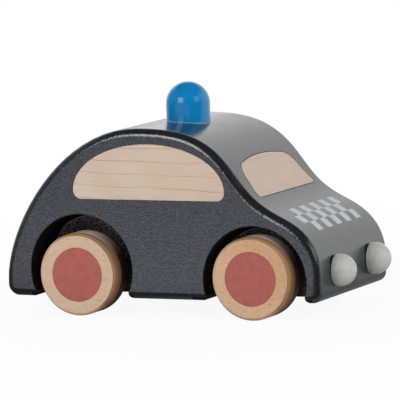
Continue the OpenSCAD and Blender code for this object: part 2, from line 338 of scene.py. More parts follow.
def slope_block(name, spot, fall, half_wide, length, up_slope):
    """A rounded block across the car, square to the slope at a spot of the outline. It reaches some way
    up the slope from that spot, and the rest of its length down."""
    lean, bow = SLOPE_LEAN, SLOPE_BOW
    narrow = half_wide - lean
    side_lean, top_rise = math.atan2(lean, length - bow), math.atan2(bow, narrow)
    low_cut = SLOPE_LOW_R / math.tan((math.pi / 2 - side_lean) / 2)
    high_cut = SLOPE_HIGH_R / math.tan((math.pi / 2 + side_lean + top_rise) / 2)
    turn = math.radians(fall)
    down = Vector((math.cos(turn), 0, -math.sin(turn)))
    out = Vector((math.sin(turn), 0, math.cos(turn)))
    centre = Vector((START.x + spot.x, 0, START.y + spot.y)) + down * (length - 2 * up_slope + bow) / 2
    clear_selection()
    bpy.ops.mesh.primitive_plane_add(size=1, location=centre * MM, rotation=(0, turn, 0))
    block = bpy.context.object
    block.name = name
    block.scale = ((length - bow) * MM, 2 * half_wide * MM, 1)
    fix_place()
    upper = (centre * MM).dot(down)
    edit(block)
    choose("VERT", lambda v: v.co.dot(down) < upper)
    bpy.ops.transform.resize(value=(1, 1 - lean / half_wide, 1))
    bpy.ops.mesh.subdivide(number_cuts=1)
    choose("VERT", lambda v: abs(v.co.y) < HAIR)
    bpy.ops.transform.translate(value=-down * bow * MM)
    bevel(narrow / 2, 12, "VERTICES")
    choose("VERT", lambda v: v.co.dot(down) > upper and abs(v.co.y) > (half_wide - NEAR_CORNER) * MM)
    bevel(low_cut, 6, "VERTICES")
    choose("VERT", lambda v: v.co.dot(down) < upper and abs(v.co.y) > (narrow - NEAR_CORNER) * MM)
    bevel(high_cut, 8, "VERTICES")
    choose_all()
    bpy.ops.transform.translate(value=-out * SLOPE_REACH * MM)
    pull_out(out * 2 * SLOPE_REACH * MM)
    face_outwards()
    leave_edit()
    report(block)
    return block


print("slope block tool ready")

# %% Blocks for the windscreen and the rear window
screen_spot, screen_way = PASSES[2][:2]
windscreen = slope_block(
    "windscreen_inlay", screen_spot, -screen_way, half_wide=HALF_WIDE - 9.8, length=25, up_slope=7.1)

# The rear window sits halfway along the curve from the tail to the roof
(tail_spot, tail_way, _, tail_share), (roof_spot, roof_way, roof_share, _) = PASSES[:2]
chord = (roof_spot - tail_spot).length
tail_handle = tail_spot + heading(tail_way) * tail_share * chord
roof_handle = roof_spot - heading(roof_way) * roof_share * chord
rear_spot = (tail_spot + 3 * tail_handle + 3 * roof_handle + roof_spot) / 8
rear_way = roof_spot + roof_handle - tail_handle - tail_spot
rear_fall = 180 - math.degrees(math.atan2(rear_way.y, rear_way.x))
print("rear window slope:", round(rear_fall, 1))
rear_window = slope_block(
    "rear_window_inlay", rear_spot, rear_fall, half_wide=HALF_WIDE - 16, length=20, up_slope=10)

# %% Cut the inlays and their recesses out of the skin
INLAY_T, INLAY_FIT = 1.2, 0.1
inner_body = copy_of(painted_body, "inner_body")
swell(inner_body, -INLAY_T)
slope_recesses = []
for inlay in (windscreen, rear_window):
    slope_recesses.append(copy_of(inlay, inlay.name + "_recess"))
    carve(inlay, painted_body, "INTERSECT")
    carve(inlay, inner_body)
    report(inlay)
side_recesses = [copy_of(inlay, inlay.name + "_recess") for inlay in side_windows.values()]

swell(inner_body, -INLAY_FIT)
recess_cutters = slope_recesses + side_recesses
for cutter in recess_cutters:
    swell(cutter, INLAY_FIT)
for cutter in slope_recesses:
    carve(cutter, inner_body)
for cutter in recess_cutters:
    carve(painted_body, cutter)
discard(inner_body, *recess_cutters)
report(painted_body)

# %% Break the inlays' edges, and give the narrow new faces a slot of their own
SIDE_BREAK, SLOPE_BREAK = 0.15, 0.3
for inlay in (windscreen, rear_window, *side_windows.values()):
    edit(inlay)
    bpy.ops.mesh.select_mode(type="EDGE")
    bpy.ops.mesh.select_all(action="DESELECT")
    bpy.ops.mesh.edges_select_sharp(sharpness=math.radians(60))
    bevel(SIDE_BREAK if inlay in side_windows.values() else SLOPE_BREAK, 2)
    leave_edit()
    for face in inlay.data.polygons:
        face.material_index = int(face.select)
    smooth(inlay)
print("inlays softened")

# %% [markdown]
# ## Wheel arches
#
# Each wheel turns in a round pocket that is open below. A plain cylinder would leave sharp points where
# the round meets the underside, so the cutter is drawn as an outline too, with a small foot at each end
# that rounds those points off. It is pulled out from the pocket's floor past the body's side.

# %% Draw an arch
FOOT_R = 2.5


def arc(centre, radius, start, end):
    """Anchors along a circular arc, in steps of at most 45 degrees."""
    steps = math.ceil(abs(end - start) / 45)
    turn = (end - start) / steps
    reach = radius * 4 / 3 * math.tan(math.radians(turn / 4))
    anchors = []
    for i in range(steps + 1):
        angle = start + i * turn
        spot = centre + radius * heading(angle)
        along = reach * heading(angle + 90)
        anchors.append((spot, spot - along if i else None, spot + along if i < steps else None))
    return anchors


def joined(first, second):
    """Two runs of anchors that share the spot where they meet."""
    return first[:-1] + [(first[-1][0], first[-1][1], second[0][2])] + second[1:]


def arch_anchors(centre, radius):
    rise = centre.y - UNDER - FOOT_R
    aside = math.sqrt((radius + FOOT_R) ** 2 - rise**2)
    dip = math.degrees(math.asin(rise / (radius + FOOT_R)))
    left_foot = Vector((centre.x - aside, UNDER + FOOT_R))
    right_foot = Vector((centre.x + aside, UNDER + FOOT_R))
    left_run = arc(left_foot, FOOT_R, -90, dip)
    right_run = arc(right_foot, FOOT_R, 180 - dip, 270)
    over = arc(centre, radius, 180 + dip, -dip)
    drop = Vector((0, -5))
    ends = [(right_run[-1][0] + drop, None, None), (left_run[0][0] + drop, None, None)]
    return joined(joined(left_run, over), right_run) + ends


print("arch tools ready")

# %% Cut the four pockets
POCKET_FLOOR, PAST_SIDE = core_high.y, 60
OFF_AXLE = Vector((0, 2))  # the rear arches sit above their axle, the front ones below


def axle_spot(end):
    low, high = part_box(end + "_axle")
    return Vector((low.x + high.x, low.z + high.z)) / 2 / MM


ARCHES = {
    "rear": (axle_spot("rear") + OFF_AXLE, 27.7),
    "front": (axle_spot("front") - OFF_AXLE, 27.4),
}
for centre, radius in ARCHES.values():
    for low_y, high_y in ((-PAST_SIDE, -POCKET_FLOOR), (POCKET_FLOOR, PAST_SIDE)):
        cutter = draw_outline("arch_cutter", arch_anchors(centre, radius))
        thicken(cutter, low_y, high_y)
        carve(painted_body, cutter)
        discard(cutter)
report(painted_body)

# %% [markdown]
# The pockets' mouths are hardly broken on the real car: a rub with sandpaper. Their edges lie on the
# flat sides and close to an arch's circle, so they are chosen by those two facts and bevelled a little.

# %% Rub the mouths' edges
MOUTH_BREAK, ON_CIRCLE = 0.5, 0.1


def on_a_mouth(edge):
    for vert in edge.verts:
        if abs(abs(vert.co.y) - HALF_WIDE * MM) > HAIR or vert.co.z < (UNDER + EDGE_R) * MM:
            return False
        flat = Vector((vert.co.x, vert.co.z)) / MM
        if min(abs((flat - c).length - r) for c, r in ARCHES.values()) > ON_CIRCLE:
            return False
    return True


edit(painted_body)
choose("EDGE", on_a_mouth)
bevel(MOUTH_BREAK, 3)
leave_edit()
report(painted_body)

# %% [markdown]
# ## Roof lamp
#
# The lamp is a turned knob: straight sides under a half-ball top. A ball with its lower half taken away
# and its rim pulled down gives that shape with even faces. It stands in a shallow round seat, because
# the roof under it is curved and the lamp's foot is flat.

# %% Turn the lamp
ALONG_X, ALONG_Z = 0, 2
LAMP_R, HEADLIGHT_R = 11.05, 8


def turned_knob(name, node, radius, axis, foot_break):
    """A half-ball on a straight rim, filling a node's box along its axis, X or Z."""
    low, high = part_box(node)
    dome = (low + high) / 2
    dome[axis] = high[axis] - radius * MM
    turn = (0, math.pi / 2, 0) if axis == ALONG_X else (0, 0, 0)
    clear_selection()
    bpy.ops.mesh.primitive_uv_sphere_add(
        segments=72, ring_count=36, radius=radius * MM, location=dome, rotation=turn)
    knob = bpy.context.object
    knob.name = name
    fix_place()
    edit(knob)
    choose("VERT", lambda v: v.co[axis] < dome[axis] - HAIR)
    bpy.ops.mesh.delete(type="VERT")
    drop = Vector((0, 0, 0))
    drop[axis] = low[axis] - dome[axis]
    choose("EDGE", lambda e: e.is_boundary)
    pull_out(drop)
    bpy.ops.mesh.edge_face_add()
    choose("EDGE", lambda e: all(v.co[axis] < low[axis] + HAIR for v in e.verts))
    bevel(foot_break, 3)
    face_outwards()
    leave_edit()
    smooth(knob, 50)
    report(knob)
    return knob


roof_lamp = turned_knob("blue_roof_lamp", "roof_lamp", LAMP_R, ALONG_Z, foot_break=0.5)

# %% Cut the lamp's seat in the roof
SEAT_R = LAMP_R + 0.1


def add_cylinder(low, high, radius, vertices, turn=(0, 0, 0)):
    """A cylinder in the middle of a box and as long as it: upright, or across the car if turned."""
    across = any(turn)
    clear_selection()
    bpy.ops.mesh.primitive_cylinder_add(
        vertices=vertices, radius=radius * MM, depth=high.y - low.y if across else high.z - low.z,
        location=(low + high) / 2, rotation=turn)
    fix_place()
    return bpy.context.object


seat_cutter = add_cylinder(*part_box("roof_lamp"), SEAT_R, 96)
carve(painted_body, seat_cutter)
discard(seat_cutter)
smooth(painted_body)
report(painted_body)

# %% [markdown]
# ## Headlights
#
# The headlights are the lamp's little sisters, turned on their sides and glued to the nose. The same
# helper makes the right one; the left one is a copy with its own mesh, moved across the car.

# %% Turn the headlights
right_headlight = turned_knob(
    "right_grey_headlight", "right_headlight", HEADLIGHT_R, ALONG_X, foot_break=0.4)
left_headlight = copy_of(right_headlight, "left_grey_headlight")
left_headlight.location.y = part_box("left_headlight")[0].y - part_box("right_headlight")[0].y
fix_place()
report(left_headlight)

# %% [markdown]
# ## Wheels
#
# A wheel is a thick beech disc with chamfered rims, and a red disc lies flush in a recess of its outer
# face. A cylinder is chamfered once, then the chamfer's own edges are softened. One wheel is made for
# the right side and one for the left, and each is copied to the other axle.

# %% Turn a wheel
WHEEL_R, DISC_R = 20.6, 13.5
CHAMFER, CHAMFER_BREAK = 1.2, 0.3
DISC_FIT, RECESS_DEPTH = 0.05, 2.05
ON_ITS_SIDE = (math.pi / 2, 0, 0)


def choose_flat_face(outwards):
    choose("FACE", lambda f: f.normal.y * outwards > 0.99 and len(f.verts) > 4)


def turned_wheel(name, node, outwards):
    wheel = add_cylinder(*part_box(node), WHEEL_R, 128, ON_ITS_SIDE)
    wheel.name = name
    edit(wheel)
    choose("EDGE", runs_lengthwise)
    bevel(CHAMFER, 1)
    choose("EDGE", runs_lengthwise)
    bevel(CHAMFER_BREAK, 3)
    choose_flat_face(outwards)
    bpy.ops.mesh.inset(thickness=(WHEEL_R - CHAMFER - CHAMFER_BREAK - DISC_R - DISC_FIT) * MM)
    pull_out((0, -outwards * RECESS_DEPTH * MM, 0))
    leave_edit()
    smooth(wheel)
    report(wheel)
    return wheel


print("wheel tool ready")

# %% Turn a red middle, and copy both to all four places
DISC_BREAK, DISC_INSET = 0.2, 4


def red_middle(name, node, outwards):
    low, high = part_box(node)
    outer_face = max(low.y * outwards, high.y * outwards)
    disc = add_cylinder(low, high, DISC_R, 128, ON_ITS_SIDE)
    disc.name = name
    edit(disc)
    choose("EDGE", lambda e: all(v.co.y * outwards > outer_face - HAIR for v in e.verts))
    bevel(DISC_BREAK, 2)
    choose_flat_face(outwards)
    bpy.ops.mesh.inset(thickness=DISC_INSET * MM)
    leave_edit()
    smooth(disc)
    report(disc)
    return disc


axle_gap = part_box("rear_axle")[0].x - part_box("front_axle")[0].x
wheels, discs = {}, {}
for side, outwards in (("right", -1), ("left", 1)):
    for made, maker, node, name in (
        (wheels, turned_wheel, "wheel", "beech_wheel"), (discs, red_middle, "hub_disc", "red_middle")
    ):
        front = maker(f"front_{side}_{name}", f"front_{side}_{node}", outwards)
        rear = copy_of(front, f"rear_{side}_{name}")
        rear.location.x = axle_gap
        fix_place()
        made["front", side], made["rear", side] = front, rear
print("wheels:", len(wheels), "red middles:", len(discs))

# %% [markdown]
# ## Finishes
#
# A finish is a small network of nodes. All of them read Object coordinates: every piece sits at the
# origin with its place in its mesh, so a pattern stays where it is put, in metres. Numbers that are the
# same all over go straight onto the shader; only what varies is linked. Colours are noted as they look
# on a screen, from 0 to 255, and turned into the linear values that the shader wants. The tools add
# their nodes to the network that was opened last, so one finish is built from start to end.

# %% Open a network, add nodes to it and connect them
open_network = {}  # holds the nodes of the network that was opened last


def colour(red, green, blue):
    """Linear colour from screen values."""
    def linear(value):
        value /= 255
        return value / 12.92 if value <= 0.04045 else ((value + 0.055) / 1.055) ** 2.4
    return (linear(red), linear(green), linear(blue), 1)


def open_nodes(owner):
    """Open the network of a material or a world, and give its nodes."""
    owner.use_nodes = True
    open_network["nodes"] = owner.node_tree.nodes
    return owner.node_tree.nodes


def connect(value, socket):
    """Link a socket to another node's output, or set it to a number or colour."""
    if isinstance(value, bpy.types.NodeSocket):
        socket.id_data.links.new(value, socket)
    else:
        socket.default_value = value


def add(kind, inputs, **settings):
    """Add a node with its settings and inputs."""
    node = open_network["nodes"].new("ShaderNode" + kind)
    for key, value in settings.items():
        setattr(node, key, value)
    for key, value in inputs.items():
        connect(value, node.inputs[key])
    return node


def dress(shader, **values):
    """Connect values to a shader's inputs, written with _ for each space."""
    for key, value in values.items():
        connect(value, shader.inputs[key.replace("_", " ")])


def new_finish(name, **constants):
    finish = bpy.data.materials.new(name)
    shader = open_nodes(finish)["Principled BSDF"]
    dress(shader, **constants)
    return finish, shader


print("network tools ready")

# %% Places, numbers and colours in a network


def spots_of(scale=(1, 1, 1), turn=(0, 0, 0)):
    """Object coordinates, scaled and turned."""
    where = add("TexCoord", {}).outputs["Object"]
    return add("Mapping", {"Vector": where, "Scale": scale, "Rotation": turn}).outputs["Vector"]


def axes_of(vector):
    """A vector's three numbers, along X, Y and Z."""
    return add("SeparateXYZ", {"Vector": vector}).outputs


def vector_of(**axes):
    return add("CombineXYZ", axes).outputs["Vector"]


def length_of(vector):
    return add("VectorMath", {0: vector}, operation="LENGTH").outputs["Value"]


def sums(operation, first, second=0.0):
    return add("Math", {0: first, 1: second}, operation=operation).outputs[0]


plus, minus, times = partial(sums, "ADD"), partial(sums, "SUBTRACT"), partial(sums, "MULTIPLY")
larger, smaller = partial(sums, "MAXIMUM"), partial(sums, "MINIMUM")
above, below = partial(sums, "GREATER_THAN"), partial(sums, "LESS_THAN")
size_of = partial(sums, "ABSOLUTE")


def between(value, low, high, low_out, high_out):
    """Stretch the part of a value from low to high over the range low_out to high_out."""
    return add("MapRange", {
        "Value": value, "From Min": low, "From Max": high, "To Min": low_out, "To Max": high_out,
    }).outputs["Result"]


def mixed(factor, first, second):
    colours = {"Factor": factor, 6: first, 7: second}  # 6 and 7 are the colour sockets
    return add("Mix", colours, data_type="RGBA").outputs[2]


def tinted(base, shade, value, low, high, most=1):
    """Blend a shade into a base as a value goes from low to high, up to a share of most."""
    return mixed(between(value, low, high, 0, most), base, shade)


print("number and colour tools ready")

# %% Patterns in a network


def cloud(vector, scale, detail):
    return add("TexNoise", {"Vector": vector, "Scale": scale, "Detail": detail}).outputs["Fac"]


def grain(scale, detail):
    """Noise that is stretched along the axes with the smaller scales."""
    return cloud(spots_of(scale), 1, detail)


def flecks(vector, scale, size, share):
    """Sparse round flecks: 1 inside a fleck, 0 outside."""
    cells = add("TexVoronoi", {"Vector": vector, "Scale": scale})
    near = between(cells.outputs["Distance"], size, size * 0.5, 0, 1)
    lucky = add("SeparateColor", {"Color": cells.outputs["Color"]}).outputs["Red"]
    return times(near, below(lucky, share))


def relief(height, strength, depth):
    """Bump of a depth in millimetres."""
    bump = add("Bump", {"Height": height, "Strength": strength, "Distance": depth * MM})
    return bump.outputs["Normal"]


def of_its_end(along, rear, front):
    """One length in millimetres behind the car's middle, another before it."""
    return between(along, -1 * MM, 1 * MM, rear * MM, front * MM)


print("pattern tools ready")

# %% Put finishes on pieces


def coat_with(piece, *finishes):
    for finish in finishes:
        piece.data.materials.append(finish)


def use_second_finish(piece, rule):
    """Give the faces that the rule accepts the piece's second finish."""
    edit(piece)
    choose("FACE", rule)
    piece.active_material_index = 1
    bpy.ops.object.material_slot_assign()
    leave_edit()


print("coating tools ready")

# %% [markdown]
# ## Charcoal lacquer
#
# The body is sprayed nearly black and left with a satin gloss, so most of what is seen on it is the
# studio: pale on the roof and bonnet, dark on the rounded edges. Dust in the lacquer makes its gloss
# vary in fine specks, and the board's grain shows as faint long ripples. A chequered band is brushed on
# the bonnet in light grey: a generic marking, drawn as a mask on the bonnet's slope.

# %% Lacquer with dust in it
lacquer, lacquer_shader = new_finish("charcoal_lacquer", IOR=2.15)
where = spots_of()
coat = tinted(colour(8, 10, 14), colour(13, 15, 20), cloud(where, 60, 4), 0.35, 0.65)
dust = cloud(where, 1250, 1)
coat = tinted(coat, colour(28, 31, 38), dust, 0.4, 0.7, 0.7)
dress(lacquer_shader, Specular_IOR_Level=between(dust, 0.3, 0.7, 0.4, 0.6))
print("lacquer:", lacquer.name)

# %% A chequered band, counted in squares from its upper right corner
SQUARE, ROWS, COLUMNS = 6.2, 3, 10
BAND_TOP, BAND_SIDE = 27.9, -SQUARE * COLUMNS / 2
SKIN_OUT = 40  # square to the slope, the bonnet's skin lies further out than this
bonnet_way = PASSES[3][1]
down, across, out = axes_of(spots_of(turn=(0, math.radians(bonnet_way), 0)))
wobble = times(minus(cloud(where, 350, 2), 0.5), 0.8 * MM)


def squares_from(start, place):
    return sums("DIVIDE", minus(plus(place, wobble), start * MM), SQUARE * MM)


row, column = squares_from(BAND_TOP, down), squares_from(BAND_SIDE, across)
band = sums("PINGPONG", plus(sums("FLOOR", row), sums("FLOOR", column)), 1.0)
for count, limit in ((row, ROWS), (column, COLUMNS)):
    band = times(times(band, above(count, 0.0)), below(count, float(limit)))
band = times(band, above(out, SKIN_OUT * MM))
brushed = between(grain((90, 1200, 90), 3), 0.3, 0.6, 0.7, 1)
coat = mixed(times(band, brushed), coat, colour(196, 199, 202))
print("squares in the band:", ROWS * COLUMNS)

# %% Gloss, pores and ripples
gloss = between(cloud(where, 120, 3), 0.3, 0.7, 0.13, 0.2)
pores, ripple = cloud(where, 1100, 2), grain((35, 420, 420), 3)
dress(
    lacquer_shader, Base_Color=coat, Roughness=larger(gloss, times(band, 0.45)),
    Normal=relief(plus(pores, times(ripple, 0.3)), 0.9, 0.12))
print("lacquer nodes:", len(lacquer.node_tree.nodes))

# %% [markdown]
# The pockets got only a thin coat over sawn wood. They are dull and black, with upright saw streaks. On
# their floors the round cutter, set a little off the arch, has scraped pale arcs, most of them near its
# rim. The place along the car says which arch a spot belongs to. The pockets are part of the body's
# mesh, so their faces get its second material slot, chosen by their place.

# %% Thin paint inside the pockets
pocket_paint, pocket_shader = new_finish("pocket_paint", Specular_IOR_Level=0.2)
streaks = grain((700, 700, 60), 4)
sawn = tinted(colour(9, 8, 9), colour(30, 27, 28), streaks, 0.35, 0.75)
print("pocket paint:", pocket_paint.name)

# %% Arcs that the cutter scraped on the pockets' floors
SCRAPE_BACK, SCRAPE_DOWN, SCRAPE_LESS = 4.5, 0.9, 2.5
(rear_arch, rear_r), (front_arch, front_r) = ARCHES["rear"], ARCHES["front"]
along, across, up = axes_of(spots_of())
on_floor = below(size_of(across), (POCKET_FLOOR + 0.2) * MM)
ahead = minus(along, of_its_end(along, rear_arch.x - SCRAPE_BACK, front_arch.x - SCRAPE_BACK))
over = minus(up, of_its_end(along, rear_arch.y - SCRAPE_DOWN, front_arch.y - SCRAPE_DOWN))
out = length_of(vector_of(X=ahead, Y=over))
inwards = minus(of_its_end(along, rear_r - SCRAPE_LESS, front_r - SCRAPE_LESS), out)

round_the_cutter = vector_of(X=times(out, 1700), Y=times(sums("ARCTAN2", over, ahead), 14))
marks = between(cloud(round_the_cutter, 1, 5), 0.4, 0.7, 0, 1)
rim_band = between(inwards, 1.5 * MM, 5 * MM, 1, 0.3)
rim_line = between(inwards, 0.3 * MM, 0.6 * MM, 0.9, 0)
chips = times(larger(times(rim_band, marks), rim_line), above(inwards, 0.0))
dress(
    pocket_shader, Base_Color=mixed(times(on_floor, chips), sawn, colour(178, 168, 166)),
    Roughness=between(streaks, 0.3, 0.7, 0.55, 0.8), Normal=relief(streaks, 0.7, 0.2))
print("pocket nodes:", len(pocket_paint.node_tree.nodes))

# %% Give the pockets' faces their paint
FOOT_REACH = 4  # how far a foot's slanted faces reach beyond the arch
PAINT_END = 0.45  # how far inside the body's side the thin paint ends


def in_a_pocket(face):
    middle = face.calc_center_median()
    if not (POCKET_FLOOR - 0.1) * MM < abs(middle.y) < (HALF_WIDE - PAINT_END) * MM:
        return False
    flat = Vector((middle.x, middle.z)) / MM
    at_a_foot = flat.y < UNDER + FOOT_R and face.normal.z > -0.97
    reach = FOOT_REACH if at_a_foot else ON_CIRCLE
    return any((flat - c).length < r + reach for c, r in ARCHES.values())


coat_with(painted_body, lacquer, pocket_paint)
use_second_finish(painted_body, in_a_pocket)
print("pocket faces:", sum(face.material_index for face in painted_body.data.polygons))

# %% [markdown]
# ## Bare wood
#
# The windows are pale, sanded and unvarnished. Growth rings cross the side windows as a few thin brown
# lines that wander a little, and fine short pores lie along the grain. The same network serves all
# windows; only the tones, the direction of the grain and the spacing of the rings differ. The paint has
# run over the broken edges of the windscreen and the rear window, so those narrow faces stay dark.

# %% Wood for the windows


def bare_wood(name, tones, pore_scale, pore_share, ring_lean, ring_scale, ring_share):
    wood, shader = new_finish(name, Specular_IOR_Level=0.3)
    where = spots_of()
    pale = tinted(*tones, axes_of(where)["X"], -50 * MM, 35 * MM)
    pale = tinted(pale, colour(190, 166, 142), cloud(where, 45, 3), 0.4, 0.65, 0.35)
    rings = add("TexWave", {
        "Vector": spots_of(turn=(0, math.radians(ring_lean), 0)), "Scale": ring_scale,
        "Distortion": 2.4, "Detail": 2.0, "Detail Scale": 0.45}, bands_direction="Z").outputs["Fac"]
    fade = between(grain((30, 30, 120), 2), 0.35, 0.65, 0.4 * ring_share, ring_share)
    pale = mixed(times(between(rings, 0.985, 0.999, 0, 1), fade), pale, colour(166, 128, 96))
    pores = between(grain(pore_scale, 2), 0.62, 0.78, 0, pore_share)
    dress(
        shader, Base_Color=mixed(pores, pale, colour(172, 136, 104)),
        Roughness=between(pores, 0, 0.45, 0.55, 0.7), Normal=relief(minus(1.0, pores), 0.3, 0.05))
    return wood


side_wood = bare_wood(
    "bare_wood_sides", (colour(201, 186, 170), colour(199, 179, 159)),
    pore_scale=(120, 900, 1500), pore_share=0.45, ring_lean=-1.5, ring_scale=47, ring_share=0.75)
slope_wood = bare_wood(
    "bare_wood_slopes", (colour(205, 186, 171), colour(205, 186, 171)),
    pore_scale=(1300, 130, 1300), pore_share=0.22, ring_lean=43, ring_scale=30, ring_share=0.12)
for inlay in side_windows.values():
    coat_with(inlay, side_wood, side_wood)
for inlay in (windscreen, rear_window):
    coat_with(inlay, slope_wood, pocket_paint)
print("window woods:", side_wood.name, slope_wood.name)

# %% [markdown]
# ## Beech wheels and red paint
#
# Beech is a little warmer than the windows, with many short flecks. The front wheels are turned from a
# warmer piece than the rear ones, browner on one side, so the tone follows the distance along the car
# and, on the front wheels, the height too.

# %% Beech for the wheels' faces
beech, beech_shader = new_finish("turned_beech", Specular_IOR_Level=0.35)
where = spots_of()
along, _, up = axes_of(where)
warm = tinted(colour(201, 165, 134), colour(189, 145, 105), plus(along, up), 50 * MM, 85 * MM)
tone = tinted(colour(197, 171, 148), warm, along, -30 * MM, 30 * MM)
figure = grain((28, 60, 150), 4)
tone = tinted(tone, colour(192, 154, 116), figure, 0.35, 0.7, 0.6)
rays = between(grain((260, 700, 1500), 2), 0.56, 0.74, 0, 0.55)
tone = mixed(rays, tone, colour(156, 114, 80))
tone = tinted(tone, colour(228, 206, 180), cloud(where, 1100, 1), 0.35, 0.65, 0.22)
dress(
    beech_shader, Base_Color=tone, Roughness=between(figure, 0.3, 0.7, 0.5, 0.65),
    Normal=relief(minus(figure, rays), 0.25, 0.06))
print("wheel wood:", beech.name)

# %% [markdown]
# The treads cross the growth rings, which show there as darker lines round the wheel. Light and shade
# are
# painted on them: pale on the top and to the rear, where the key light falls, and dark to the front and
# below, darker on the rear wheels. The part that stands out of the body is painted as lit, golden
# towards the rear and below. So the treads get a wood of their own: the wheel's second material slot,
# for all faces that don't look along the axle.

# %% Beech for the treads, with painted light and shade, measured from each wheel's own middle
OUTER_RING, LAST_RING, POCKET_SHADE_END = (42.6, 43.6), (46.0, 46.3), (46.6, 47.0)  # from the car's middle
tread_wood, tread_shader = new_finish("beech_treads", Specular_IOR_Level=0.25)
along, across, up = axes_of(spots_of())
ahead = minus(along, of_its_end(along, axle_spot("rear").x, axle_spot("front").x))
over = minus(up, WHEEL_R * MM)
out = size_of(across)


def in_metres(line):
    """Where a line across the tread starts and ends."""
    return (place * MM for place in line)


# Painted light and shade: the top and rear of each tread are painted pale, as lit by the key light, and
# the front and underside dark, as in shade, darker on the rear wheels.
aslant = minus(over, times(ahead, 0.7))
painted_light_share = between(aslant, -4 * MM, 16 * MM, 0, 1)
painted_shade_tone = tinted(colour(84, 58, 42), colour(112, 80, 56), along, -1 * MM, 1 * MM)
tone = mixed(painted_light_share, painted_shade_tone, colour(232, 212, 196))
outer_share, last_share = between(painted_light_share, 0, 1, 0.7, 0.15), between(painted_light_share, 0, 1, 0.9, 0.7)
tone = tinted(tone, colour(150, 118, 96), out, *in_metres(OUTER_RING), outer_share)
tone = tinted(tone, colour(120, 80, 54), out, *in_metres(LAST_RING), last_share)
# Painted light: the part of the tread that stands out past the body's side is painted as lit, mid brown
# and golden towards the rear and below; further in, the painted light and shade above stay.
edge = tinted(colour(152, 118, 84), colour(152, 114, 80), aslant, 4 * MM, -20 * MM)
golden = plus(ahead, times(over, 0.6))
edge = tinted(edge, colour(201, 172, 144), golden, 6 * MM, -6 * MM)
tone = tinted(tone, edge, out, *in_metres(POCKET_SHADE_END))
fibres = grain((40, 900, 40), 3)
tone = tinted(tone, colour(74, 50, 34), fibres, 0.45, 0.65, 0.35)
dress(
    tread_shader, Base_Color=tone, Roughness=between(fibres, 0.3, 0.7, 0.6, 0.75),
    Normal=relief(fibres, 0.4, 0.08))
for wheel in wheels.values():
    coat_with(wheel, beech, tread_wood)
    use_second_finish(wheel, lambda f: abs(f.normal.y) < 0.9)
print("tread wood:", tread_wood.name)

# %% [markdown]
# The red middles are brushed with thin matt paint that lets specks of wood through. Dark and pale flecks
# over a washed tone give that look, and fine upright noise stands for the brush.

# %% Matt red
red_paint, red_shader = new_finish("matt_red_paint", Specular_IOR_Level=0.3)
where = spots_of()
wash = tinted(colour(160, 82, 75), colour(168, 92, 85), cloud(where, 260, 4), 0.3, 0.7)
wash = tinted(wash, colour(178, 106, 98), cloud(where, 1200, 1), 0.35, 0.65, 0.3)
wash = tinted(wash, colour(118, 54, 50), flecks(where, 900, 0.3, 0.24), 0, 1, 0.4)
wash = tinted(wash, colour(206, 140, 124), flecks(where, 1000, 0.28, 0.16), 0, 1, 0.3)
brush = grain((900, 900, 160), 3)
dress(
    red_shader, Base_Color=wash, Roughness=between(brush, 0.3, 0.7, 0.5, 0.68),
    Normal=relief(brush, 0.3, 0.05))
for disc in discs.values():
    coat_with(disc, red_paint)
print("red paint:", red_paint.name)

# %% [markdown]
# ## Lamp and headlights
#
# The lamp is dipped in thick blue gloss that runs a little uneven. A painted highlight, a pale line,
# lies
# where its foot meets the roof: the roof's curve, as a parabola, says how high that is.

# %% Blue gloss
ROOF_CURVE = 3.3  # the roof falls by this times the squared distance from its top, in metres
blue_gloss, blue_shader = new_finish("blue_gloss_paint", IOR=1.58)
where = spots_of()
depth = between(cloud(where, 130, 3), 0.3, 0.7, 0, 1)
blue = mixed(depth, colour(0, 118, 176), colour(0, 124, 183))
along, _, up = axes_of(where)
ahead = minus(along, (START.x + roof_spot.x) * MM)
over_roof = plus(minus(up, (UNDER + TALL) * MM), times(times(ahead, ahead), ROOF_CURVE))
# Painted highlight: a pale, ragged line round the lamp's foot, at the height of the roof under it.
ragged = times(minus(cloud(where, 500, 2), 0.5), 0.6 * MM)
foot_highlight = between(size_of(plus(over_roof, ragged)), 0.2 * MM, 0.4 * MM, 0.7, 0)
dress(
    blue_shader, Base_Color=mixed(foot_highlight, blue, colour(168, 190, 206)),
    Roughness=between(depth, 0, 1, 0.1, 0.14), Normal=relief(cloud(where, 420, 2), 0.25, 0.06))
coat_with(roof_lamp, blue_gloss)
print("lamp paint:", blue_gloss.name)

# %% [markdown]
# The headlights have a thin light-grey satin coat through which the lathe's rings and some pores show.
# Both share one network: the sideways distance is made positive, so that the rings are centred on either
# of them.

# %% Grey satin
grey_satin, grey_shader = new_finish("grey_satin_paint", IOR=1.5)
where = spots_of()
_, across, up = axes_of(where)
low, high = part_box("left_headlight")
middle = (low + high) / 2
centred = vector_of(Y=minus(size_of(across), middle.y), Z=minus(up, middle.z))
turning = add("TexWave", {
    "Vector": centred, "Scale": 330, "Distortion": 3, "Detail": 2},
    wave_type="RINGS", rings_direction="X").outputs["Fac"]
satin = mixed(turning, colour(178, 179, 178), colour(183, 183, 181))
satin = tinted(satin, colour(122, 122, 120), flecks(where, 700, 0.28, 0.16), 0, 1, 0.5)
satin = tinted(satin, colour(214, 214, 210), flecks(where, 820, 0.3, 0.14), 0, 1, 0.6)
dress(
    grey_shader, Base_Color=satin, Roughness=between(cloud(where, 300, 3), 0.3, 0.7, 0.24, 0.34),
    Normal=relief(turning, 0.07, 0.05))
for headlight in (right_headlight, left_headlight):
    coat_with(headlight, grey_satin)
print("headlight paint:", grey_satin.name)

# %% [markdown]
# ## What stays from the construction
#
# The axles and the dowels are nearly hidden, and their plain round shapes are right as they are. They
# keep their meshes and only get a finish: drawn steel with fine lengthwise lines, and beech.

